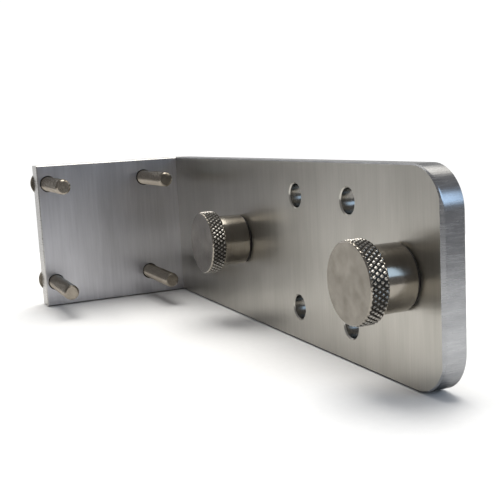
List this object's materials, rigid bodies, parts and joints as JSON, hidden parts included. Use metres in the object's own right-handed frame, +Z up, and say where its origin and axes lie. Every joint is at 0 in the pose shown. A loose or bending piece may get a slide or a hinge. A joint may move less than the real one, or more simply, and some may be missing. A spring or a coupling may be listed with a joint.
{
  "type": "watch movement holder",
  "caption": "L-shaped steel holder bracket with knurled thumb screws, a pattern of through holes, and button-head screws standing out of its short flange as locating studs.",
  "frame": {"origin": "centre of the four-hole pattern, on the main plate's back face", "axes": "+X along the main plate to its free end, +Y out of the back face, +Z up; the part stands on its lower edges"},
  "size_m": [0.1706, 0.0685, 0.05],
  "materials": {
    "plate_steel": "brushed",
    "flange_steel": "fine brushed",
    "screw_steel": "bright stainless",
    "fastener_steel": "plain",
    "knob_steel": "turned and knurled",
    "stud_steel": "threaded",
    "washer_nylon": "black nylon"
  },
  "bodies": {
    "bracket": {"main_plate": "plate_steel", "flange_plate": "flange_steel", "flange_screw_upper_outer": "screw_steel", "flange_screw_lower_outer": "screw_steel", "flange_screw_upper_inner": "screw_steel", "flange_screw_lower_inner": "screw_steel", "corner_screw_top": "fastener_steel", "corner_screw_middle": "fastener_steel", "corner_screw_bottom": "fastener_steel", "corner_dowel_top": "fastener_steel", "corner_dowel_bottom": "fastener_steel"},
    "carrier_outer": {"washer_outer": "washer_nylon"},
    "thumb_screw_outer": {"knob_outer": "knob_steel", "stud_outer": "stud_steel"},
    "carrier_inner": {"washer_inner": "washer_nylon"},
    "thumb_screw_inner": {"knob_inner": "knob_steel", "stud_inner": "stud_steel"}
  },
  "joints": [
    {"name": "advance_outer", "type": "slide", "parent": "bracket", "child": "carrier_outer", "axis": [0, -1, 0], "range_m": [0, 0.01001]},
    {"name": "turn_outer", "type": "hinge", "parent": "carrier_outer", "child": "thumb_screw_outer", "pos_m": [0.03585, -0.006, 0], "axis": [0, -1, 0], "range_deg": [0, 3600]},
    {"name": "advance_inner", "type": "slide", "parent": "bracket", "child": "carrier_inner", "axis": [0, -1, 0], "range_m": [0, 0.01001]},
    {"name": "turn_inner", "type": "hinge", "parent": "carrier_inner", "child": "thumb_screw_inner", "pos_m": [-0.0509, -0.006, 0], "axis": [0, -1, 0], "range_deg": [0, 3600]}
  ],
  "couplings": [
    {"joint": "advance_outer", "follows": "turn_outer", "m_per_rad": 0.00015915},
    {"joint": "advance_inner", "follows": "turn_inner", "m_per_rad": 0.00015915}
  ]
}
